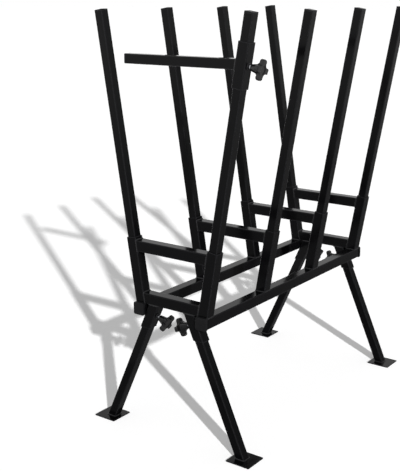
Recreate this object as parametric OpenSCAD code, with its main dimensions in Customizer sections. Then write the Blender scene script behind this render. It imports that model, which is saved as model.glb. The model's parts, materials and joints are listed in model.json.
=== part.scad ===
// Log saw stand: a welded trestle of square steel tube that holds a stack of logs for sawing.
// Eight loose posts lean outwards from sockets on two rails, four splayed legs plug in below,
// and a clamp with a long arm slides on one post to hold the stack down.
// The front end is at -X, the left side at +Y, and the floor at Z = 0.

/* [Tubes] */
// Outside width of the square post tube
post_w = 25; // [20:1:32]
// Wall of the post tube
post_wall = 1.5; // [1:0.1:2.5]
// Outside width of the square leg tube
leg_w = 25; // [20:1:32]
// Wall of the leg tube
leg_wall = 1.5; // [1:0.1:2.5]
// Outside width of the two square rails
rail_w = 30; // [26:1:40]
// Wall of the rails
rail_wall = 1.5; // [1:0.1:2.5]
// Outside width of the square crossbars
bar_w = 30; // [24:1:34]
// Wall of the crossbars
bar_wall = 1.5; // [1:0.1:2.5]
// Wall of the post sockets, the leg sockets and the clamp's sleeve
socket_wall = 2; // [1.5:0.1:3]
// Outer corner radius of every square tube
corner_r = 2.5; // [2:0.1:4]
// Gap on each side between a tube and the socket it slides in
socket_fit = 0.5; // [0.3:0.1:0.8]

/* [Frame] */
// Distance from one pair of posts to the next
pair_pitch = 268; // [200:1:320]
// Distance between the centre lines of the rails
rail_spread = 204; // [180:1:260]
// Length of rail past the middle of an end pair of posts
rail_overhang = 22; // [20:1:40]
// Height of the rails' top face above the floor
rail_top = 364; // [300:1:450]
// Length of a post socket along its middle line
socket_len = 178; // [120:1:240]
// Drop from a post socket's rim to the top of its upper crossbar
bar_drop = 6; // [2:1:20]
// Lean of the posts outwards from upright, in degrees
post_lean = 9.5; // [4:0.5:14]

/* [Posts] */
// Length of a post tube
post_len = 762; // [600:1:900]

/* [Legs] */
// Splay of the legs outwards from upright, in degrees
leg_splay = 24; // [16:0.5:28]
// Height of a leg socket, which is cut level at both ends
leg_socket_h = 67.5; // [55:0.5:100]
// Distance along a leg from its crossbar to its clamping screw
leg_screw_drop = 28; // [24:1:34]
// Width of a square foot plate
foot_w = 70; // [60:1:100]
// Thickness of a foot plate
foot_t = 3; // [2:0.5:6]
// Distance from the foot of a leg outwards to the middle of its plate
foot_shift = 7; // [0:1:12]

/* [Clamp] */
// Distance along the post from its top down to the upper end of the sleeve
sleeve_drop = 63; // [40:1:300]
// Length of the sleeve
sleeve_len = 110; // [80:1:125]
// Outside width of the square arm
arm_w = 25; // [20:1:28]
// Wall of the arm
arm_wall = 1.5; // [1:0.1:2.5]
// Gap between the arm's plugged end and the post across from its sleeve
arm_gap = 50; // [20:1:150]

/* [Star knobs] */
// Diameter of a knob over its lobes
knob_d = 50; // [44:1:60]
// Thickness of the lobed head
head_h = 11; // [8:1:18]
// Diameter of each lobe's round end
lobe_d = 14; // [10:1:16]
// Radius of the hollows between the lobes
hollow_r = 9; // [7:0.5:12]
// Radius of the rounded edges of the head
head_edge_r = 3; // [1:0.5:4]
// Length of the neck under the head
neck_len = 20; // [14:1:26]
// Diameter of the neck where it meets the head
neck_d = 24; // [20:1:26]
// Diameter of the neck's free end
neck_tip_d = 16; // [14:1:18]
// Diameter of the clamping stud
stud_d = 8; // [6:1:10]
// Length of bare stud between the nut and the knob
stud_show = 5; // [2:1:8]
// Turn of the clamp's knob about its stud, in degrees
clamp_knob_turn = 14; // [0:1:90]
// Turn of the left legs' knobs about their studs, in degrees
left_knob_turn = 45; // [0:1:90]
// Width of the welded nut across its flats
nut_af = 13; // [13:1:16]
// Height of the welded nut
nut_h = 4; // [3:0.5:8]

/* [Caps and plugs] */
// Wall of a rail's end cap
cap_wall = 2; // [1.5:0.5:4]
// Thickness of a tube plug's head
plug_head = 3; // [2:0.5:5]
// Depth of a tube plug's stem
plug_stem = 14; // [8:1:20]
// Wall of a tube plug's stem
plug_wall = 2; // [1.5:0.1:3]

/* [Hidden] */
$fn = 48;
overrun = 1;
// Radial clearance of the stud in its nut, wall and knob
stud_fit = 0.05;
// Gap between the stud's tip and the tube that it clamps
tip_gap = 0.2;
// Gap between the end of a loose tube and the face that stops it
stop_gap = 0.3;
// Room left for a weld where a leg socket passes the rail's lower edge
weld_gap = 0.1;
// Clearance of caps and plugs on their tubes
cap_fit = 0.15;
// Gap between an end cap and the end post's socket
cap_gap = 1;
// Least inner corner radius of a tube
inner_r = 0.5;
// Corner radius of a foot plate
foot_r = 2;
// Depth of stud held inside the knob
insert_len = 20;
// Diameter and depth of the dished top of the knob
dish_d = 20;
dish_h = 1.5;
// Radius of the fillet where the neck runs into the head
neck_r = 4;
// Width of the stud's chamfered tip
stud_chamfer = 0.8;

pairs = [0, 1, 2, 3];
ends = [-1, 1];
sides = [1, -1];
clamp_pair = 0;
clamp_side = -1;

steel = "#1b1b1d";
plastic = "#2a2b2d";
zinc = "#c9ccd0";

socket_w = post_w + 2 * (socket_fit + socket_wall);
leg_socket_w = leg_w + 2 * (socket_fit + socket_wall);
rail_y = rail_spread / 2;
end_x = (len(pairs) - 1) / 2 * pair_pitch;
rail_half = end_x + rail_overhang;
rim_z = rail_top + socket_len * cos(post_lean);
upper_bar_z = rim_z - bar_drop - bar_w / 2;
lower_bar_z = rail_top + bar_w / 2;
post_foot = (post_w / 2 * sin(post_lean) + stop_gap) / cos(post_lean);
leg_head = (leg_w / 2 * sin(leg_splay) + stop_gap) / cos(leg_splay);

// The leg socket's outer face just passes the rounded lower inner edge of the rail
rail_edge_y = rail_y - rail_w / 2 + corner_r;
rail_edge_drop = rail_w - corner_r;
leg_y = rail_edge_y - rail_edge_drop * tan(leg_splay)
    - (leg_socket_w / 2 + weld_gap + corner_r) / cos(leg_splay);
foot_y = leg_y + (rail_top - foot_t) * tan(leg_splay);
leg_len = (rail_top - foot_t) / cos(leg_splay);

sleeve_at = post_len - sleeve_drop - sleeve_len;
sleeve_mid = sleeve_at + sleeve_len / 2;
arm_z = rail_top + sleeve_mid * cos(post_lean) + socket_w / 2 * sin(post_lean);
arm_end_y = arm_gap + plug_head - post_face_y(arm_z - arm_w / 2);

knob_base = nut_h + stud_show;
lobe_r = lobe_d / 2;
lobe_at = knob_d / 2 - lobe_r;
// Centre of a hollow on the diagonal, so that its arc runs smoothly into both lobes
hollow_reach = hollow_r + lobe_r;
hollow_at = (lobe_at + sqrt(2 * hollow_reach * hollow_reach - lobe_at * lobe_at)) / 2;

function pair_x(i) = (i - (len(pairs) - 1) / 2) * pair_pitch;
function side_name(s) = s > 0 ? "left" : "right";
function end_name(e) = e < 0 ? "front" : "rear";
function pair_name(piece, i) = str(piece, "_", i + 1);
function post_name(piece, i, s) = str(piece, "_", i + 1, "_", side_name(s));
function leg_name(piece, e, s) = str(piece, "_", end_name(e), "_", side_name(s));
// Place across the stand of a post socket's inner face at a height
function inner_face_y(z) = rail_y - socket_w / 2 / cos(post_lean) + (z - rail_top) * tan(post_lean);
// Place across the stand of a post's own inner face at a height
function post_face_y(z) = rail_y - post_w / 2 / cos(post_lean) + (z - rail_top) * tan(post_lean);
function leg_knob_turn(s) = s > 0 ? left_knob_turn : 0;

// Outline of a square tube with round corners
module tube_outline(w, r) {
    flat = w - 2 * r;
    square([w, flat], center = true);
    square([flat, w], center = true);
    for (x = [-1, 1], y = [-1, 1]) {
        translate([x * flat / 2, y * flat / 2]) circle(r = r);
    }
}

// Square tube along +Z
module tube(w, wall, length) {
    linear_extrude(length) difference() {
        tube_outline(w, corner_r);
        tube_outline(w - 2 * wall, max(corner_r - wall, inner_r));
    }
}

// Square tube along Y, about the origin
module cross_tube(w, wall, length) {
    rotate([90, 0, 0]) translate([0, 0, -length / 2]) tube(w, wall, length);
}

// Plug with a head on the end of a tube at Z = 0 and a hollow stem down inside it
module tube_plug(w, wall) {
    stem_w = w - 2 * (wall + cap_fit);
    stem_r = max(corner_r - wall, inner_r);
    linear_extrude(plug_head) tube_outline(w, corner_r);
    translate([0, 0, -plug_stem]) linear_extrude(plug_stem) difference() {
        tube_outline(stem_w, stem_r);
        tube_outline(stem_w - 2 * plug_wall, inner_r);
    }
}

// Children are drawn for the left side, and mirrored for the right
module on_side(s) {
    if (s > 0) children();
    else mirror([0, 1, 0]) children();
}

// Frame of a post: origin where its middle line meets the rail, +Z up along it, +Y outwards
module on_post(i, s) {
    on_side(s) translate([pair_x(i), rail_y, rail_top]) rotate([-post_lean, 0, 0]) children();
}

// Frame of a leg: origin where its middle line meets the crossbar, -Z down along it, +Y outwards
module on_leg(e, s) {
    on_side(s) translate([e * end_x, leg_y, rail_top]) rotate([leg_splay, 0, 0]) children();
}

// Frame of a leg's clamping screw: origin on the socket's inner face, +Z out towards the knob
module on_leg_screw(e, s) {
    on_leg(e, s) translate([0, -leg_socket_w / 2, -leg_screw_drop]) rotate([90, 0, 0]) children();
}

// Frame of the clamp's screw: origin on the sleeve's outer face, +Z out towards the knob
module on_clamp_screw() {
    on_post(clamp_pair, clamp_side) translate([0, socket_w / 2, sleeve_mid]) rotate([-90, 0, 0]) children();
}

// Hole for a clamping stud through the wall that its frame sits on
module stud_hole() {
    translate([0, 0, -socket_wall - overrun])
        cylinder(r = stud_d / 2 + stud_fit, h = socket_wall + 2 * overrun);
}

module rail(s) {
    color(steel) translate([-rail_half, s * rail_y, rail_top - rail_w / 2]) rotate([90, 0, 90])
        tube(rail_w, rail_wall, 2 * rail_half);
}

// Cap over a rail's end, with its skirt towards -Z
module end_cap() {
    skirt_w = rail_w + 2 * cap_fit;
    cap_w = skirt_w + 2 * cap_wall;
    cap_r = corner_r + cap_fit + cap_wall;
    skirt = rail_overhang - socket_w / 2 - cap_gap;
    difference() {
        translate([0, 0, -skirt]) linear_extrude(skirt + cap_wall) tube_outline(cap_w, cap_r);
        translate([0, 0, -skirt - overrun]) linear_extrude(skirt + overrun) tube_outline(skirt_w, corner_r);
    }
}

module rail_end_caps() {
    color(plastic) for (e = ends, s = sides) {
        translate([e * rail_half, s * rail_y, rail_top - rail_w / 2]) rotate([0, e * 90, 0]) end_cap();
    }
}

module post_socket(i, s) {
    reach = 2 * socket_w;
    color(steel) difference() {
        on_post(i, s) translate([0, 0, -socket_w]) tube(socket_w, socket_wall, socket_len + socket_w);
        translate([pair_x(i) - reach / 2, s * rail_y - reach / 2, rail_top - reach]) cube(reach);
    }
}

// Crossbar between the inner faces of a pair of leaning sockets
module crossbar(x, z) {
    low = z - bar_w / 2;
    high = z + bar_w / 2;
    color(steel) translate([x, 0, 0]) intersection() {
        translate([0, 0, z]) cross_tube(bar_w, bar_wall, 2 * inner_face_y(high));
        rotate([90, 0, 90]) translate([0, 0, -bar_w / 2 - overrun]) linear_extrude(bar_w + 2 * overrun)
            polygon([
                [-inner_face_y(low), low],
                [inner_face_y(low), low],
                [inner_face_y(high), high],
                [-inner_face_y(high), high]
            ]);
    }
}

module post(i, s) {
    color(steel) on_post(i, s) translate([0, 0, post_foot]) tube(post_w, post_wall, post_len);
}

module post_plug(i, s) {
    color(plastic) on_post(i, s) translate([0, 0, post_foot + post_len]) tube_plug(post_w, post_wall);
}

module leg_socket(e, s) {
    reach = 2 * leg_socket_w;
    run = leg_socket_h / cos(leg_splay);
    end_y = leg_y + leg_socket_h * tan(leg_splay);
    color(steel) difference() {
        on_leg(e, s) translate([0, 0, -run - leg_socket_w])
            tube(leg_socket_w, socket_wall, run + 2 * leg_socket_w);
        translate([e * end_x - reach / 2, s * leg_y - reach, rail_top]) cube([reach, 2 * reach, reach]);
        translate([e * end_x - reach / 2, s * end_y - reach, rail_top - leg_socket_h - reach])
            cube([reach, 2 * reach, reach]);
        on_leg_screw(e, s) stud_hole();
    }
}

module leg(e, s) {
    color(steel) difference() {
        on_leg(e, s) translate([0, 0, -leg_len - leg_w]) tube(leg_w, leg_wall, leg_len + leg_w - leg_head);
        translate([e * end_x - leg_w, s * foot_y - 2 * leg_w, foot_t - 2 * leg_w])
            cube([2 * leg_w, 4 * leg_w, 2 * leg_w]);
    }
}

module foot_plate(e, s) {
    color(steel) translate([e * end_x, s * (foot_y + foot_shift), 0])
        linear_extrude(foot_t) tube_outline(foot_w, foot_r);
}

module weld_nut() {
    difference() {
        cylinder(r = nut_af / 2 / cos(30), h = nut_h, $fn = 6);
        translate([0, 0, -overrun]) cylinder(r = stud_d / 2 + stud_fit, h = nut_h + 2 * overrun);
    }
}

module leg_nuts() {
    color(steel) for (e = ends, s = sides) on_leg_screw(e, s) weld_nut();
}

// Outline of the knob's head: four round lobes joined by round hollows
module star_outline() {
    turns = [0, 90, 180, 270];
    difference() {
        union() {
            polygon([
                for (a = turns, p = [[lobe_at, 0], [hollow_at, hollow_at]])
                    [p[0] * cos(a) - p[1] * sin(a), p[0] * sin(a) + p[1] * cos(a)]
            ]);
            for (a = turns) rotate(a) translate([lobe_at, 0]) circle(r = lobe_r);
        }
        for (a = turns) rotate(a) translate([hollow_at, hollow_at]) circle(r = hollow_r);
    }
}

// Revolved envelope that rounds the rims of the knob's lobes
module head_envelope() {
    rim = knob_d / 2 - head_edge_r;
    rotate_extrude() {
        square([rim, head_h]);
        translate([0, head_edge_r]) square([knob_d / 2, head_h - 2 * head_edge_r]);
        for (y = [head_edge_r, head_h - head_edge_r]) {
            intersection() {
                translate([rim, y]) circle(r = head_edge_r);
                square([knob_d / 2, head_h]);
            }
        }
    }
}

// Tapered neck that flares in a fillet where it meets the head
module knob_neck() {
    rotate_extrude() difference() {
        polygon([
            [0, 0],
            [neck_tip_d / 2, 0],
            [neck_d / 2, neck_len - neck_r],
            [neck_d / 2 + neck_r, neck_len - neck_r],
            [neck_d / 2 + neck_r, neck_len],
            [0, neck_len]
        ]);
        translate([neck_d / 2 + neck_r, neck_len - neck_r]) circle(r = neck_r);
    }
}

// Four-lobed clamping knob on its screw's frame
module star_knob() {
    color(plastic) translate([0, 0, knob_base]) difference() {
        union() {
            knob_neck();
            translate([0, 0, neck_len]) intersection() {
                linear_extrude(head_h) star_outline();
                head_envelope();
            }
        }
        translate([0, 0, neck_len + head_h - dish_h]) cylinder(d = dish_d, h = dish_h + overrun);
        translate([0, 0, -overrun]) cylinder(r = stud_d / 2 + stud_fit, h = insert_len + overrun);
    }
}

// Stud from its tip beside the clamped tube to its end inside the knob
module stud() {
    tip = socket_wall + socket_fit - tip_gap;
    color(zinc) translate([0, 0, -tip]) {
        cylinder(d1 = stud_d - 2 * stud_chamfer, d2 = stud_d, h = stud_chamfer);
        translate([0, 0, stud_chamfer])
            cylinder(d = stud_d, h = tip + knob_base + insert_len - stud_chamfer);
    }
}

module leg_knob(e, s) { on_leg_screw(e, s) rotate(leg_knob_turn(s)) star_knob(); }
module leg_stud(e, s) { on_leg_screw(e, s) stud(); }

module clamp_sleeve() {
    color(steel) difference() {
        on_post(clamp_pair, clamp_side) translate([0, 0, sleeve_at]) tube(socket_w, socket_wall, sleeve_len);
        on_clamp_screw() stud_hole();
    }
}

// Arm that runs level across the stand, cut to the slope of the sleeve that it is welded to
module clamp_arm() {
    low = arm_z - arm_w / 2;
    high = arm_z + arm_w / 2;
    span = inner_face_y(high) - arm_end_y;
    color(steel) on_side(clamp_side) translate([pair_x(clamp_pair), 0, 0]) intersection() {
        translate([0, arm_end_y + span / 2, arm_z]) cross_tube(arm_w, arm_wall, span);
        rotate([90, 0, 90]) translate([0, 0, -arm_w / 2 - overrun]) linear_extrude(arm_w + 2 * overrun)
            polygon([
                [arm_end_y, low],
                [inner_face_y(low), low],
                [inner_face_y(high), high],
                [arm_end_y, high]
            ]);
    }
}

module clamp_arm_plug() {
    color(plastic) on_side(clamp_side) translate([pair_x(clamp_pair), arm_end_y, arm_z]) rotate([90, 0, 0])
        tube_plug(arm_w, arm_wall);
}

module clamp_nut() { color(steel) on_clamp_screw() weld_nut(); }
module clamp_knob() { on_clamp_screw() rotate(clamp_knob_turn) star_knob(); }
module clamp_stud() { on_clamp_screw() stud(); }

for (s = sides) rail(s);
rail_end_caps();
for (i = pairs, s = sides) post_socket(i, s);
for (i = pairs) {
    crossbar(pair_x(i), upper_bar_z);
}
for (e = ends) {
    crossbar(e * end_x, lower_bar_z);
}
for (i = pairs, s = sides) post(i, s);
for (i = pairs, s = sides) post_plug(i, s);
for (e = ends, s = sides) leg_socket(e, s);
leg_nuts();
for (e = ends, s = sides) leg(e, s);
for (e = ends, s = sides) foot_plate(e, s);
for (e = ends, s = sides) leg_knob(e, s);
for (e = ends, s = sides) leg_stud(e, s);
clamp_sleeve();
clamp_arm();
clamp_arm_plug();
clamp_nut();
clamp_knob();
clamp_stud();
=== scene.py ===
# Scene of the log saw stand: finishes, weld seams, threads, moulded plugs and caps, light and camera.
import json
import math
import random
import bpy
from mathutils import Matrix, Vector


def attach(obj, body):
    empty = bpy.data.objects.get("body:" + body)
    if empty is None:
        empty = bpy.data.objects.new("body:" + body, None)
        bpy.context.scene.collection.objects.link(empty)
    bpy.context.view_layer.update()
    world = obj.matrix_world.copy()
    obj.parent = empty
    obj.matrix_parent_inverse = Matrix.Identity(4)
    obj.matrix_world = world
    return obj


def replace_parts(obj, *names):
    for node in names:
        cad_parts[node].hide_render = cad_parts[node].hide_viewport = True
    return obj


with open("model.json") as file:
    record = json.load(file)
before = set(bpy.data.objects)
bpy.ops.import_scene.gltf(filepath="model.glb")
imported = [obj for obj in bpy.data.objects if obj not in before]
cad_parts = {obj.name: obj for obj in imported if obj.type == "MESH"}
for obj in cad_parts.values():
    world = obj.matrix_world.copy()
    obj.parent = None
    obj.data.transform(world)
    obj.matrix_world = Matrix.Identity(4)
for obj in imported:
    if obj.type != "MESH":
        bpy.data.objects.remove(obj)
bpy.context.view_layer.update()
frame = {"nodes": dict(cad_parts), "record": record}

# Sizes of the stand, in metres, as in the part's source
MM = 0.001
PAIR_PITCH = 268 * MM
RAIL_SPREAD = 204 * MM
RAIL_OVERHANG = 22 * MM
RAIL_TOP = 364 * MM
RAIL_W = 30 * MM
BAR_W = 30 * MM
BAR_DROP = 6 * MM
SOCKET_W = 30 * MM
SOCKET_LEN = 178 * MM
POST_W = 25 * MM
POST_WALL = 1.5 * MM
POST_LEN = 762 * MM
POST_LEAN = math.radians(9.5)
LEG_W = 25 * MM
LEG_SPLAY = math.radians(24)
LEG_SCREW_DROP = 28 * MM
FOOT_T = 3 * MM
CORNER_R = 2.5 * MM
SLEEVE_LEN = 110 * MM
SLEEVE_DROP = 63 * MM
ARM_W = 25 * MM
ARM_GAP = 50 * MM
STOP_GAP = 0.3 * MM
WELD_GAP = 0.1 * MM
STUD_D = 8 * MM
STUD_TIP = 2.3 * MM
STUD_CHAMFER = 0.8 * MM
INSERT_LEN = 20 * MM
NUT_H = 4 * MM
NUT_AF = 13 * MM
STUD_SHOW = 5 * MM
CAP_FIT = 0.15 * MM
CAP_WALL = 2 * MM
CAP_GAP = 1 * MM
PLUG_HEAD = 3 * MM
PLUG_STEM = 14 * MM

PAIRS = (0, 1, 2, 3)
SIDES = {"left": 1, "right": -1}
ENDS = {"front": -1, "rear": 1}
X_AXIS = Vector((1, 0, 0))
Y_AXIS = Vector((0, 1, 0))
Z_AXIS = Vector((0, 0, 1))

RAIL_Y = RAIL_SPREAD / 2
END_X = (len(PAIRS) - 1) / 2 * PAIR_PITCH
RAIL_HALF = END_X + RAIL_OVERHANG
UPPER_BAR_Z = RAIL_TOP + SOCKET_LEN * math.cos(POST_LEAN) - BAR_DROP - BAR_W / 2
LOWER_BAR_Z = RAIL_TOP + BAR_W / 2
POST_FOOT = (POST_W / 2 * math.sin(POST_LEAN) + STOP_GAP) / math.cos(POST_LEAN)
LEG_Y = (RAIL_Y - RAIL_W / 2 + CORNER_R - (RAIL_W - CORNER_R) * math.tan(LEG_SPLAY)
         - (SOCKET_W / 2 + WELD_GAP + CORNER_R) / math.cos(LEG_SPLAY))
FOOT_Y = LEG_Y + (RAIL_TOP - FOOT_T) * math.tan(LEG_SPLAY)
SLEEVE_MID = POST_LEN - SLEEVE_DROP - SLEEVE_LEN / 2
ARM_Z = RAIL_TOP + SLEEVE_MID * math.cos(POST_LEAN) + SOCKET_W / 2 * math.sin(POST_LEAN)
KNOB_BASE = NUT_H + STUD_SHOW

# Camera fitted to the photograph's edges and outline, for an image of 400 x 471 pixels
IMAGE_H_PX = 471
FOCAL_PX = 918.16
CAMERA_AT = Vector((-2.18636, -1.40085, 1.16069))
CAMERA_YAW = math.radians(36.429)
CAMERA_PITCH = math.radians(-14.804)
CAMERA_ROLL = math.radians(-0.032)
SENSOR_MM = 36

# Light: a low key from the right of the camera, as the shadows show, in a white studio
SUN_TRAVEL = Vector((1.38, 1.78, -1.0))
SUN_STRENGTH = 4.9
SUN_ANGLE = math.radians(1.2)
WHITE = (1, 1, 1, 1)
AMBIENT = 0.3
FLOOR_SIZE = 120
FLOOR_ALBEDO = (0.9, 0.9, 0.9, 1)
FLOOR_LIFT = 0.2

# Grey cards that show in the gloss alone: the upright ones brighten from the floor to CARD_FULL_H
CARD_X = -0.75
CARD_Y = -0.45
CARD_LEN = 4.5
CARD_H = 2.5
CARD_FULL_H = 1.0
CARD_RISE_POWER = 2
FLOOR_CARD_LIFT = 0.5 * MM
FLOOR_CARD_LEN = 2.6
FLOOR_CARD_W = 0.9
FRONT_GREYS = (0.5, 1.5)
SIDE_GREYS = (0.28, 0.85)
FLOOR_GREYS = (0.25, 0.25)


def pair_x(i):
    return (i - (len(PAIRS) - 1) / 2) * PAIR_PITCH


def inner_face_y(z):
    """Place across the stand of a post socket's inner face at a height."""
    return RAIL_Y - SOCKET_W / 2 / math.cos(POST_LEAN) + (z - RAIL_TOP) * math.tan(POST_LEAN)


def post_axis(side):
    return Vector((0, side * math.sin(POST_LEAN), math.cos(POST_LEAN)))


def leg_axis(side):
    return Vector((0, side * math.sin(LEG_SPLAY), -math.cos(LEG_SPLAY)))


def frame_at(origin, x_axis, y_axis, z_axis):
    """Matrix of a frame with this origin and these axes."""
    turn = Matrix((x_axis, y_axis, z_axis)).transposed()
    return Matrix.Translation(origin) @ turn.to_4x4()


def axis_frame(origin, z_axis):
    """Frame at origin with the given +Z, which lies across the stand, and the stand's own +X."""
    return frame_at(origin, X_AXIS, z_axis.cross(X_AXIS), z_axis)


def post_top_frame(i, side):
    """Frame on a post's upper end, +Z out along the post."""
    axis = post_axis(side)
    origin = Vector((pair_x(i), side * RAIL_Y, RAIL_TOP)) + axis * (POST_FOOT + POST_LEN)
    return axis_frame(origin, axis)


def leg_screw_frame(end, side):
    """Frame on a leg socket's inner face, +Z out towards the knob."""
    axis = Vector((0, -side * math.cos(LEG_SPLAY), -math.sin(LEG_SPLAY)))
    origin = (Vector((end * END_X, side * LEG_Y, RAIL_TOP)) + leg_axis(side) * LEG_SCREW_DROP
              + axis * SOCKET_W / 2)
    return axis_frame(origin, axis)


def clamp_screw_frame():
    """Frame on the clamp sleeve's outer face, +Z out towards the knob."""
    axis = Vector((0, -math.cos(POST_LEAN), -math.sin(POST_LEAN)))
    origin = Vector((-END_X, -RAIL_Y, RAIL_TOP)) + post_axis(-1) * SLEEVE_MID + axis * SOCKET_W / 2
    return axis_frame(origin, axis)


def arm_end_frame():
    """Frame on the free end of the clamp's arm, +Z out along the arm."""
    far_post = RAIL_Y - POST_W / 2 / math.cos(POST_LEAN)
    end_y = far_post + (ARM_Z - ARM_W / 2 - RAIL_TOP) * math.tan(POST_LEAN) - ARM_GAP - PLUG_HEAD
    return axis_frame(Vector((-END_X, end_y, ARM_Z)), Y_AXIS)


def rail_end_frame(end, side):
    """Frame on a rail's end, +Z out along the rail."""
    origin = Vector((end * RAIL_HALF, side * RAIL_Y, RAIL_TOP - RAIL_W / 2))
    z_axis = X_AXIS * end
    return frame_at(origin, Y_AXIS, z_axis.cross(Y_AXIS), z_axis)


# Shader nodes; the mix node's colour sockets share their names with others, so they go by number
UNIT = (0.0, 1.0)
NOISE_MIDDLE = (0.3, 0.7)
BEVEL_SAMPLES = 6
MIX_FIRST = 6
MIX_SECOND = 7
MIX_RESULT = 2


def new_material(name):
    material = bpy.data.materials.new(name)
    material.use_nodes = True
    shader = material.node_tree.nodes["Principled BSDF"]
    return material, shader


def add_node(material, kind, **values):
    """A node whose named sockets or settings get these values."""
    node = material.node_tree.nodes.new(kind)
    for key, value in values.items():
        if key in node.inputs:
            node.inputs[key].default_value = value
        else:
            setattr(node, key, value)
    return node


def link(material, source, target):
    material.node_tree.links.new(source, target)


def object_noise(material, scale, detail):
    """Noise in the piece's own coordinates."""
    coords = add_node(material, "ShaderNodeTexCoord").outputs["Object"]
    noise = add_node(material, "ShaderNodeTexNoise", Scale=scale, Detail=detail)
    link(material, coords, noise.inputs["Vector"])
    return noise.outputs["Fac"]


def map_range(material, value, from_range, to_range):
    node = add_node(material, "ShaderNodeMapRange")
    for socket, number in zip(("From Min", "From Max", "To Min", "To Max"), from_range + to_range):
        node.inputs[socket].default_value = number
    link(material, value, node.inputs["Value"])
    return node.outputs["Result"]


def mix_colors(material, fac, first, second):
    """Mix of two colours, each a fixed colour or another node's output."""
    node = add_node(material, "ShaderNodeMix", data_type="RGBA")
    link(material, fac, node.inputs["Factor"])
    for socket, color in ((node.inputs[MIX_FIRST], first), (node.inputs[MIX_SECOND], second)):
        if isinstance(color, tuple):
            socket.default_value = color
        else:
            link(material, color, socket)
    return node.outputs[MIX_RESULT]


def multiply(material, first, second):
    node = add_node(material, "ShaderNodeMath", operation="MULTIPLY", use_clamp=True)
    link(material, first, node.inputs[0])
    link(material, second, node.inputs[1])
    return node.outputs["Value"]


def bump(material, shader, heights, normal=None):
    """Chain of bumps, each a height, a strength and a distance, on a given normal or the surface's own."""
    for height, strength, distance in heights:
        node = add_node(material, "ShaderNodeBump", Strength=strength, Distance=distance)
        link(material, height, node.inputs["Height"])
        if normal:
            link(material, normal, node.inputs["Normal"])
        normal = node.outputs["Normal"]
    link(material, normal, shader.inputs["Normal"])


def rounded_normal(material, radius):
    """Normal of the surface as if its edges were rounded to a radius."""
    return add_node(material, "ShaderNodeBevel", samples=BEVEL_SAMPLES, Radius=radius).outputs["Normal"]


def edge_mask(material, radius, gain):
    """Bright along sharp or tightly rounded edges."""
    hard = add_node(material, "ShaderNodeNewGeometry")
    dot = add_node(material, "ShaderNodeVectorMath", operation="DOT_PRODUCT")
    link(material, rounded_normal(material, radius), dot.inputs[0])
    link(material, hard.outputs["Normal"], dot.inputs[1])
    return map_range(material, dot.outputs["Value"], (1.0, 1.0 - gain), UNIT)


# Black powder coat of the steel, glossier on the weld beads
COAT_DARK = (0.0014, 0.0014, 0.0016, 1)
COAT_LIGHT = (0.0028, 0.0028, 0.0031, 1)
# Grey mixed in along the edges: partly rubbed wear, partly a painted highlight on the rounded corners
COAT_WEAR_AND_HIGHLIGHT = (0.022, 0.022, 0.024, 1)
COAT_ROUGHNESS = (0.10, 0.15)
COAT_SPECULAR = 0.075
BEAD_SPECULAR = 0.25
COAT_EDGE_R = 2.8 * MM
COAT_EDGE_GAIN = 0.03
WEAR_AND_HIGHLIGHT_NOISE = (0.3, 0.65)
WEAR_AND_HIGHLIGHT_SHARES = (0.15, 1.0)
PEEL_STRENGTH = 0.14
PEEL_DEPTH = 0.10 * MM
PORE_STRENGTH = 0.05
PORE_DEPTH = 0.03 * MM


def powder_coat(name, specular):
    """Black satin powder coat: fine orange peel, cloudy gloss, and a patchy grey along the edges that is
    partly rubbed wear and partly painted highlight.
    """
    material, shader = new_material(name)
    cloud = object_noise(material, scale=9, detail=3)
    speck = object_noise(material, scale=420, detail=4)
    peel = object_noise(material, scale=700, detail=2)
    pores = object_noise(material, scale=2600, detail=2)
    coat = mix_colors(material, cloud, COAT_DARK, COAT_LIGHT)
    wear_and_highlight_patches = map_range(material, speck, WEAR_AND_HIGHLIGHT_NOISE, WEAR_AND_HIGHLIGHT_SHARES)
    # Patchy grey on the coat's edges: partly rubbed wear and partly painted highlight
    edge_lightening = multiply(material, edge_mask(material, COAT_EDGE_R, COAT_EDGE_GAIN), wear_and_highlight_patches)
    link(material, mix_colors(material, edge_lightening, coat, COAT_WEAR_AND_HIGHLIGHT), shader.inputs["Base Color"])
    link(material, map_range(material, cloud, NOISE_MIDDLE, COAT_ROUGHNESS), shader.inputs["Roughness"])
    shader.inputs["Specular IOR Level"].default_value = specular
    bump(material, shader, ((peel, PEEL_STRENGTH, PEEL_DEPTH), (pores, PORE_STRENGTH, PORE_DEPTH)))
    return material


# Moulded plastic of caps, plugs and knobs
CAP_DARK = (0.0045, 0.0045, 0.005, 1)
CAP_LIGHT = (0.0075, 0.0075, 0.008, 1)
KNOB_DARK = (0.002, 0.002, 0.0023, 1)
KNOB_LIGHT = (0.004, 0.004, 0.0044, 1)
MOULD_ROUND = 0.9 * MM
MOULD_EDGE_R = 0.8 * MM
MOULD_EDGE_GAIN = 0.3
MOULD_RUB_GAIN = 2.2
MOULD_ROUGH_SPREAD = 0.05
GRAIN_DEPTH = 0.1 * MM


def moulded_plastic(name, dark, light, rough, specular, grain_scale, grain_strength):
    """Spark-eroded moulded plastic: even grain, cloudy colour and gloss, softly rounded edges."""
    material, shader = new_material(name)
    cloud = object_noise(material, scale=30, detail=3)
    grain = object_noise(material, scale=grain_scale, detail=3)
    edge_lightening = multiply(material, edge_mask(material, MOULD_EDGE_R, MOULD_EDGE_GAIN), grain)
    body = mix_colors(material, cloud, dark, light)
    rubbed = tuple(MOULD_RUB_GAIN * c for c in light[:3]) + (1,)
    link(material, mix_colors(material, edge_lightening, body, rubbed), shader.inputs["Base Color"])
    rough_range = (rough - MOULD_ROUGH_SPREAD, rough + MOULD_ROUGH_SPREAD)
    link(material, map_range(material, cloud, NOISE_MIDDLE, rough_range), shader.inputs["Roughness"])
    shader.inputs["Specular IOR Level"].default_value = specular
    bump(material, shader, ((grain, grain_strength, GRAIN_DEPTH),), rounded_normal(material, MOULD_ROUND))
    return material


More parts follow.
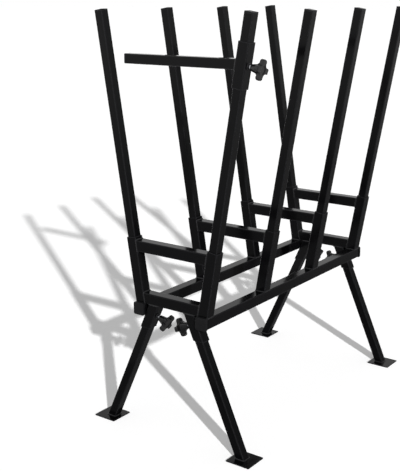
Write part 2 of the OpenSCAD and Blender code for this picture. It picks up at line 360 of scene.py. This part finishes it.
# Zinc plate of the studs
ZINC_DARK = (0.52, 0.53, 0.55, 1)
ZINC_LIGHT = (0.74, 0.75, 0.77, 1)
ZINC_ROUGHNESS = (0.22, 0.36)
ZINC_PIT_STRENGTH = 0.08
ZINC_PIT_DEPTH = 0.05 * MM


def zinc_steel():
    """Bright zinc plate with faint clouding."""
    material, shader = new_material("zinc_steel")
    cloud = object_noise(material, scale=260, detail=4)
    pits = object_noise(material, scale=2200, detail=2)
    link(material, mix_colors(material, cloud, ZINC_DARK, ZINC_LIGHT), shader.inputs["Base Color"])
    link(material, map_range(material, cloud, NOISE_MIDDLE, ZINC_ROUGHNESS), shader.inputs["Roughness"])
    shader.inputs["Metallic"].default_value = 1.0
    bump(material, shader, ((pits, ZINC_PIT_STRENGTH, ZINC_PIT_DEPTH),))
    return material


MATERIALS = {
    "powder_coat": powder_coat("powder_coat", COAT_SPECULAR),
    "bead_coat": powder_coat("bead_coat", BEAD_SPECULAR),
    "cap_plastic": moulded_plastic("cap_plastic", CAP_DARK, CAP_LIGHT, rough=0.42, specular=0.10,
                                   grain_scale=1500, grain_strength=0.25),
    "knob_plastic": moulded_plastic("knob_plastic", KNOB_DARK, KNOB_LIGHT, rough=0.24, specular=0.30,
                                    grain_scale=1100, grain_strength=0.2),
    "zinc_steel": zinc_steel(),
}


def paint_nodes():
    for subpart in frame["record"]["subparts"]:
        for slot in frame["nodes"][subpart["node"]].material_slots:
            slot.material = MATERIALS[subpart["material_slot"]]


# Cut edges of the steel
JOIN_REACH = 0.01 * MM
FLAT_ANGLE = math.radians(0.5)
CUT_ANGLE = math.radians(40)
BROKEN_EDGE = 0.4 * MM
BROKEN_EDGE_STEPS = 2


def soften_edges():
    """Breaks the sharp cut edges of the painted steel, after joining the faces that the import split."""
    for subpart in frame["record"]["subparts"]:
        if subpart["material_slot"] != "powder_coat":
            continue
        node = frame["nodes"][subpart["node"]]
        node.modifiers.new("join_faces", "WELD").merge_threshold = JOIN_REACH
        flats = node.modifiers.new("whole_flats", "DECIMATE")
        flats.decimate_type = "DISSOLVE"
        flats.angle_limit = FLAT_ANGLE
        edges = node.modifiers.new("broken_edges", "BEVEL")
        edges.width = BROKEN_EDGE
        edges.segments = BROKEN_EDGE_STEPS
        edges.limit_method = "ANGLE"
        edges.angle_limit = CUT_ANGLE
        edges.use_clamp_overlap = False
        node.modifiers.new("even_shading", "WEIGHTED_NORMAL")


# Meshes
RING_SIDES = 24
RING_CORNER_STEPS = 6


def new_piece(name, verts, faces, slot, body, finish=None):
    """A smooth mesh piece that rides on a body and has a slot's finish, or one of its own."""
    mesh = bpy.data.meshes.new(name)
    mesh.from_pydata([tuple(v) for v in verts], [], faces)
    mesh.validate()
    mesh.shade_smooth()
    mesh.materials.append(MATERIALS[finish or slot])
    piece = bpy.data.objects.new(name, mesh)
    bpy.context.scene.collection.objects.link(piece)
    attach(piece, body)
    return piece


class Shell:
    """Vertices and faces of a closed mesh that grows ring by ring."""

    def __init__(self):
        self.verts = []
        self.faces = []

    def add_rings(self, rings, closed=False):
        """Joins equal rings one to the next, and the last to the first or each end to a flat face."""
        start = len(self.verts)
        count = len(rings[0])
        for ring in rings:
            self.verts.extend(ring)
        spans = len(rings) if closed else len(rings) - 1
        for k in range(spans):
            low = start + k * count
            high = start + (k + 1) % len(rings) * count
            for j in range(count):
                n = (j + 1) % count
                self.faces.append((low + j, low + n, high + n, high + j))
        if not closed:
            last = start + (len(rings) - 1) * count
            self.faces.append(tuple(reversed(range(start, start + count))))
            self.faces.append(tuple(range(last, last + count)))


def rounded_rectangle(half_u, half_v, corner, steps):
    """Points of a rectangle with round corners, anticlockwise."""
    points = []
    for quarter, (su, sv) in enumerate(((1, 1), (-1, 1), (-1, -1), (1, -1))):
        for step in range(steps + 1):
            a = math.pi / 2 * (quarter + step / steps)
            u = su * (half_u - corner) + corner * math.cos(a)
            v = sv * (half_v - corner) + corner * math.sin(a)
            points.append((u, v))
    return points


def square_ring(matrix, half, corner, z):
    """Ring of a square with round corners, at a height of a frame."""
    return [matrix @ Vector((x, y, z)) for x, y in rounded_rectangle(half, half, corner, RING_CORNER_STEPS)]


def circle_ring(matrix, radius, z=0):
    angles = [2 * math.pi * j / RING_SIDES for j in range(RING_SIDES)]
    return [matrix @ Vector((radius * math.cos(a), radius * math.sin(a), z)) for a in angles]


# Weld beads
BEAD_R = 2.4 * MM
BEAD_STEP = 0.8 * MM
BEAD_SIDES = 8
RIPPLE_PITCH = 2.2 * MM
RIPPLE_DEPTH = 0.16
WAVE_COUNT = 3
WAVE_RATES = (0.5, 1.6)
WAVES_PER_SEAM = 4
WAVE_DEPTH = 0.09
NEAR_UPRIGHT = 0.99
SEAM_CORNER_STEPS = 3
FLUSH_INSET = 1.0 * MM


def resample(points, step):
    """Points at an even step along a closed polyline, each with its distance, and the whole length."""
    loop = points + [points[0]]
    lengths = [0.0]
    for a, b in zip(loop, loop[1:]):
        lengths.append(lengths[-1] + (b - a).length)
    total = lengths[-1]
    count = round(total / step)
    samples = []
    k = 0
    for j in range(count):
        s = total * j / count
        while k < len(loop) - 2 and lengths[k + 1] < s:
            k += 1
        span = lengths[k + 1] - lengths[k]
        samples.append((loop[k].lerp(loop[k + 1], (s - lengths[k]) / span), s))
    return samples, total


def add_bead(shell, points, seed):
    """Rippled weld bead along a closed seam: round in section and uneven in width."""
    chance = random.Random(seed)
    waves = [(chance.uniform(*WAVE_RATES), chance.uniform(0, 2 * math.pi)) for _ in range(WAVE_COUNT)]
    samples, total = resample(points, BEAD_STEP)
    ripples = round(total / RIPPLE_PITCH)
    angles = [2 * math.pi * j / BEAD_SIDES for j in range(BEAD_SIDES)]
    rings = []
    for k, (at, s) in enumerate(samples):
        before = samples[k - 1][0]
        after = samples[(k + 1) % len(samples)][0]
        along = (after - before).normalized()
        if abs(along.z) > NEAR_UPRIGHT:
            side = along.orthogonal().normalized()
        else:
            side = along.cross(Z_AXIS).normalized()
        up = along.cross(side)
        phase = (s / total * ripples) % 1.0
        way = 2 * math.pi * s / total
        drift = sum(math.sin(round(f * WAVES_PER_SEAM) * way + p) for f, p in waves) / len(waves)
        r = BEAD_R * (1 + RIPPLE_DEPTH * (phase - 0.5) + WAVE_DEPTH * drift)
        rings.append([at + (side * math.cos(t) + up * math.sin(t)) * r for t in angles])
    shell.add_rings(rings, closed=True)


def seam_loop(center, v_axis, half_x, half_v):
    """Rounded rectangle round a tube's end, in the plane of +X and v_axis."""
    outline = rounded_rectangle(half_x, half_v, CORNER_R, SEAM_CORNER_STEPS)
    return [center + X_AXIS * x + v_axis * v for x, v in outline]


def weld_piece(name, body, seams):
    """One piece of weld beads from closed seams."""
    shell = Shell()
    for k, points in enumerate(seams):
        add_bead(shell, points, f"{name} {k}")
    new_piece(name, shell.verts, shell.faces, "powder_coat", body, "bead_coat")


def socket_seam(i, side):
    """Seam where a leaning socket stands on the rail."""
    center = Vector((pair_x(i), side * RAIL_Y, RAIL_TOP))
    return seam_loop(center, Y_AXIS, SOCKET_W / 2, SOCKET_W / 2 / math.cos(POST_LEAN) - FLUSH_INSET)


def crossbar_seams(x, z):
    """Seams at both ends of a crossbar, on the leaning faces of its sockets."""
    seams = []
    for side in SIDES.values():
        center = Vector((x, side * inner_face_y(z), z))
        seams.append(seam_loop(center, post_axis(side), BAR_W / 2 - FLUSH_INSET,
                               BAR_W / 2 / math.cos(POST_LEAN)))
    return seams


def leg_socket_seams(end, side):
    """Seam of a leg socket under its crossbar, and of its nut."""
    center = Vector((end * END_X, side * LEG_Y, RAIL_TOP))
    under = seam_loop(center, Y_AXIS, SOCKET_W / 2 - FLUSH_INSET, SOCKET_W / 2 / math.cos(LEG_SPLAY))
    return [under, circle_ring(leg_screw_frame(end, side), NUT_AF / 2)]


def foot_seam(end, side):
    center = Vector((end * END_X, side * FOOT_Y, FOOT_T))
    return seam_loop(center, Y_AXIS, LEG_W / 2, LEG_W / 2 / math.cos(LEG_SPLAY))


def arm_seam():
    center = Vector((-END_X, -inner_face_y(ARM_Z), ARM_Z))
    return seam_loop(center, post_axis(-1), ARM_W / 2, ARM_W / 2 / math.cos(POST_LEAN))


def make_welds():
    for i in PAIRS:
        for name, side in SIDES.items():
            weld_piece(f"weld_socket_{i + 1}_{name}", "frame", [socket_seam(i, side)])
        weld_piece(f"weld_upper_crossbar_{i + 1}", "frame", crossbar_seams(pair_x(i), UPPER_BAR_Z))
    for end_name, end in ENDS.items():
        weld_piece(f"weld_lower_crossbar_{end_name}", "frame", crossbar_seams(end * END_X, LOWER_BAR_Z))
        for name, side in SIDES.items():
            leg = f"{end_name}_{name}"
            weld_piece(f"weld_leg_socket_{leg}", "frame", leg_socket_seams(end, side))
            weld_piece(f"weld_foot_{leg}", f"leg_{leg}", [foot_seam(end, side)])
    weld_piece("weld_clamp", "clamp", [arm_seam(), circle_ring(clamp_screw_frame(), NUT_AF / 2)])


# Threaded studs
THREAD_PITCH = 1.25 * MM
THREAD_DEPTH = 0.68 * MM
THREAD_FLANK_SHARE = 0.8
THREAD_TURN_SIDES = 28
THREAD_STEPS = 8
COLLAR_R = 5.6 * MM
COLLAR_H = 0.5 * MM
COLLAR_CHAMFER = 0.3 * MM


def thread_radius(z, turn):
    """Radius of a screw thread with flat crests and roots, at a height and a part of a turn."""
    phase = (z / THREAD_PITCH - turn) % 1.0
    flank = abs(2 * phase - 1)
    depth = 0.5 + (flank - 0.5) / THREAD_FLANK_SHARE
    return STUD_D / 2 - THREAD_DEPTH * min(1.0, max(0.0, depth))


def thread_ring(matrix, z, limit):
    """Ring of the thread at a height, no wider than a limit."""
    ring = []
    for j in range(THREAD_TURN_SIDES):
        turn = j / THREAD_TURN_SIDES
        a = 2 * math.pi * turn
        r = min(limit, thread_radius(z, turn))
        ring.append(matrix @ Vector((r * math.cos(a), r * math.sin(a), z)))
    return ring


def stud_shell(matrix):
    """Threaded stud from its chamfered tip to its end in the knob, with the collar of the knob's insert."""
    shell = Shell()
    low = -STUD_TIP
    high = KNOB_BASE + INSERT_LEN
    count = round((high - low) / THREAD_PITCH * THREAD_STEPS)
    rings = []
    for k in range(count + 1):
        z = low + (high - low) * k / count
        limit = STUD_D / 2 - max(0.0, STUD_CHAMFER - (z - low))
        rings.append(thread_ring(matrix, z, limit))
    shell.add_rings(rings)
    collar = [(STUD_D / 2, -COLLAR_H), (COLLAR_R - COLLAR_CHAMFER, -COLLAR_H),
              (COLLAR_R, COLLAR_CHAMFER - COLLAR_H), (COLLAR_R, COLLAR_H), (STUD_D / 2, COLLAR_H)]
    shell.add_rings([circle_ring(matrix, r, KNOB_BASE + z) for r, z in collar], closed=True)
    return shell


def make_studs():
    screws = {"clamp": clamp_screw_frame()}
    for end_name, end in ENDS.items():
        for name, side in SIDES.items():
            screws[f"leg_{end_name}_{name}"] = leg_screw_frame(end, side)
    for name, matrix in screws.items():
        shell = stud_shell(matrix)
        owner, _, place = name.partition("_")
        tail = f"_{place}" if place else ""
        body = f"{owner}_knob{tail}"
        piece = new_piece(f"threaded_stud_{name}", shell.verts, shell.faces, "zinc_steel", body)
        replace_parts(piece, f"{owner}_stud{tail}")


# Moulded plugs and end caps
ROUND_STEPS = 4
LEAST_CORNER = 0.4 * MM
CROWN_SHARES = ((0.75, 0.6), (0.4, 0.95), (0.1, 1.0))
PLUG_ROUND = 0.9 * MM
PLUG_CROWN = 0.25 * MM
PLUG_CHAMFER = 0.3 * MM
STEM_TAPER = 0.8 * MM
STEM_TAPER_LEN = 1.5 * MM
CAP_LIP = 0.4 * MM
CAP_ROUND = 1.6 * MM
CAP_CROWN = 0.2 * MM


def rounded_top(half, corner, top, edge, crown):
    """Half widths, corner radii and heights of a moulded head, from its side over its edge to its crown."""
    rings = []
    for step in range(ROUND_STEPS + 1):
        a = math.pi / 2 * step / ROUND_STEPS
        inset = edge * (1 - math.cos(a))
        z = top - crown - edge * (1 - math.sin(a))
        rings.append((half - inset, max(corner - inset, LEAST_CORNER), z))
    for share, rise in CROWN_SHARES:
        rings.append((half * share, corner * share, top - crown * (1 - rise)))
    return rings


def make_plug(name, matrix, width, wall, body, node):
    """Plug with a stem inside a tube's end and a rounded head over it, in the frame of that end."""
    half = width / 2
    stem = half - wall - CAP_FIT
    inner_r = CORNER_R - wall
    profile = [(stem - STEM_TAPER, inner_r, -PLUG_STEM), (stem, inner_r, STEM_TAPER_LEN - PLUG_STEM),
               (stem, inner_r, 0), (half - PLUG_CHAMFER, CORNER_R - PLUG_CHAMFER, 0),
               (half, CORNER_R, PLUG_CHAMFER)]
    profile += rounded_top(half, CORNER_R, PLUG_HEAD, PLUG_ROUND, PLUG_CROWN)
    shell = Shell()
    shell.add_rings([square_ring(matrix, h, r, z) for h, r, z in profile])
    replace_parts(new_piece(name, shell.verts, shell.faces, "cap_plastic", body), node)


def make_plugs():
    for i in PAIRS:
        for name, side in SIDES.items():
            post = f"{i + 1}_{name}"
            make_plug(f"moulded_plug_{post}", post_top_frame(i, side), POST_W, POST_WALL,
                      f"post_{post}", f"post_plug_{post}")
    make_plug("moulded_plug_arm", arm_end_frame(), ARM_W, POST_WALL, "clamp", "clamp_arm_plug")


def make_end_caps():
    """The four caps over the rails' ends, as one piece."""
    inner = RAIL_W / 2 + CAP_FIT
    outer = inner + CAP_WALL
    outer_r = CORNER_R + CAP_FIT + CAP_WALL
    skirt = RAIL_OVERHANG - SOCKET_W / 2 - CAP_GAP
    profile = [(inner, CORNER_R, 0), (inner, CORNER_R, -skirt),
               (outer - CAP_LIP, outer_r - CAP_LIP, -skirt), (outer, outer_r, CAP_LIP - skirt)]
    profile += rounded_top(outer, outer_r, CAP_WALL, CAP_ROUND, CAP_CROWN)
    shell = Shell()
    for end in ENDS.values():
        for side in SIDES.values():
            matrix = rail_end_frame(end, side)
            shell.add_rings([square_ring(matrix, h, r, z) for h, r, z in profile])
    caps = new_piece("moulded_end_caps", shell.verts, shell.faces, "cap_plastic", "frame")
    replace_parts(caps, "rail_end_caps")


# Stage


def camera_axes():
    """The camera's right, up and forward directions."""
    forward = Vector((math.cos(CAMERA_YAW) * math.cos(CAMERA_PITCH),
                      math.sin(CAMERA_YAW) * math.cos(CAMERA_PITCH), math.sin(CAMERA_PITCH)))
    level = forward.cross(Z_AXIS).normalized()
    upright = level.cross(forward)
    right = level * math.cos(CAMERA_ROLL) + upright * math.sin(CAMERA_ROLL)
    up = upright * math.cos(CAMERA_ROLL) - level * math.sin(CAMERA_ROLL)
    return right, up, forward


def make_camera():
    data = bpy.data.cameras.new("camera")
    data.sensor_fit = "VERTICAL"
    data.sensor_height = SENSOR_MM
    data.lens = FOCAL_PX / IMAGE_H_PX * SENSOR_MM
    camera = bpy.data.objects.new("camera", data)
    right, up, forward = camera_axes()
    camera.matrix_world = frame_at(CAMERA_AT, right, up, -forward)
    bpy.context.scene.collection.objects.link(camera)
    bpy.context.scene.camera = camera


def make_sun():
    """Key light for colour and shadow, which the gloss doesn't mirror."""
    data = bpy.data.lights.new("key", "SUN")
    data.energy = SUN_STRENGTH
    data.angle = SUN_ANGLE
    sun = bpy.data.objects.new("key", data)
    sun.rotation_euler = SUN_TRAVEL.to_track_quat("-Z", "Y").to_euler()
    sun.visible_glossy = False
    bpy.context.scene.collection.objects.link(sun)


def seen_level(tree, unseen, seen):
    """One level for camera, glossy and transmission rays, which see a surface, and one for diffuse rays."""
    path = tree.nodes.new("ShaderNodeLightPath")
    total = path.outputs["Is Camera Ray"]
    for ray in ("Is Glossy Ray", "Is Transmission Ray"):
        node = tree.nodes.new("ShaderNodeMath")
        node.operation = "MAXIMUM"
        tree.links.new(total, node.inputs[0])
        tree.links.new(path.outputs[ray], node.inputs[1])
        total = node.outputs["Value"]
    level = tree.nodes.new("ShaderNodeMapRange")
    level.inputs["To Min"].default_value = unseen
    level.inputs["To Max"].default_value = seen
    tree.links.new(total, level.inputs["Value"])
    return level.outputs["Result"]


def make_world():
    """White studio: full white where it is seen or mirrored, and a soft fill as light."""
    world = bpy.data.worlds.new("studio")
    world.use_nodes = True
    tree = world.node_tree
    background = tree.nodes["Background"]
    background.inputs["Color"].default_value = WHITE
    tree.links.new(seen_level(tree, AMBIENT, 1.0), background.inputs["Strength"])
    bpy.context.scene.world = world


def bare_material(name):
    """A material with no shader yet, and the socket of its surface."""
    material, shader = new_material(name)
    material.node_tree.nodes.remove(shader)
    return material, material.node_tree.nodes["Material Output"].inputs["Surface"]


def add_sheet(name, corner, along, up, material):
    """A flat stage piece of one face."""
    mesh = bpy.data.meshes.new(name)
    mesh.from_pydata([corner, corner + along, corner + along + up, corner + up], [], [(0, 1, 2, 3)])
    mesh.materials.append(material)
    sheet = bpy.data.objects.new(name, mesh)
    bpy.context.scene.collection.objects.link(sheet)
    return sheet


def make_floor():
    """Pale floor that keeps the stand's shadow and is white where the key reaches it."""
    material, surface = bare_material("floor")
    diffuse = add_node(material, "ShaderNodeBsdfDiffuse", Color=FLOOR_ALBEDO)
    lift = add_node(material, "ShaderNodeEmission")
    link(material, seen_level(material.node_tree, 0.0, FLOOR_LIFT), lift.inputs["Strength"])
    both = add_node(material, "ShaderNodeAddShader")
    link(material, diffuse.outputs["BSDF"], both.inputs[0])
    link(material, lift.outputs["Emission"], both.inputs[1])
    link(material, both.outputs["Shader"], surface)
    corner = Vector((-FLOOR_SIZE / 2, -FLOOR_SIZE / 2, 0))
    add_sheet("floor", corner, X_AXIS * FLOOR_SIZE, Y_AXIS * FLOOR_SIZE, material)


def card_rise(material):
    """How far a point of a card has come to its full brightness, from 0 at the floor to 1."""
    place = add_node(material, "ShaderNodeSeparateXYZ")
    link(material, add_node(material, "ShaderNodeTexCoord").outputs["Object"], place.inputs["Vector"])
    rise = add_node(material, "ShaderNodeMath", operation="POWER")
    link(material, map_range(material, place.outputs["Z"], (0.0, CARD_FULL_H), UNIT), rise.inputs[0])
    rise.inputs[1].default_value = CARD_RISE_POWER
    return rise.outputs["Value"]


def add_card(name, corner, along, up, greys):
    """Grey studio card that shows in the gloss alone, from one grey at the floor to another higher up."""
    material, surface = bare_material(name)
    glow = add_node(material, "ShaderNodeEmission")
    link(material, map_range(material, card_rise(material), UNIT, greys), glow.inputs["Strength"])
    link(material, glow.outputs["Emission"], surface)
    card = add_sheet(name, corner, along, up, material)
    card.visible_camera = False
    card.visible_diffuse = False
    card.visible_shadow = False


def make_cards():
    """Cards before, beside and under the stand, so that its faces mirror less than a white room."""
    corner = Vector((CARD_X, CARD_Y, 0))
    lifted = Vector((CARD_X, CARD_Y, FLOOR_CARD_LIFT))
    add_card("front_card", corner, Y_AXIS * CARD_LEN, Z_AXIS * CARD_H, FRONT_GREYS)
    add_card("side_card", corner, X_AXIS * CARD_LEN, Z_AXIS * CARD_H, SIDE_GREYS)
    add_card("floor_card", lifted, X_AXIS * FLOOR_CARD_LEN, Y_AXIS * FLOOR_CARD_W, FLOOR_GREYS)


make_camera()
make_sun()
make_world()
make_floor()
make_cards()
paint_nodes()
soften_edges()
make_welds()
make_studs()
make_plugs()
make_end_caps()
bpy.context.scene.view_settings.view_transform = "Standard"
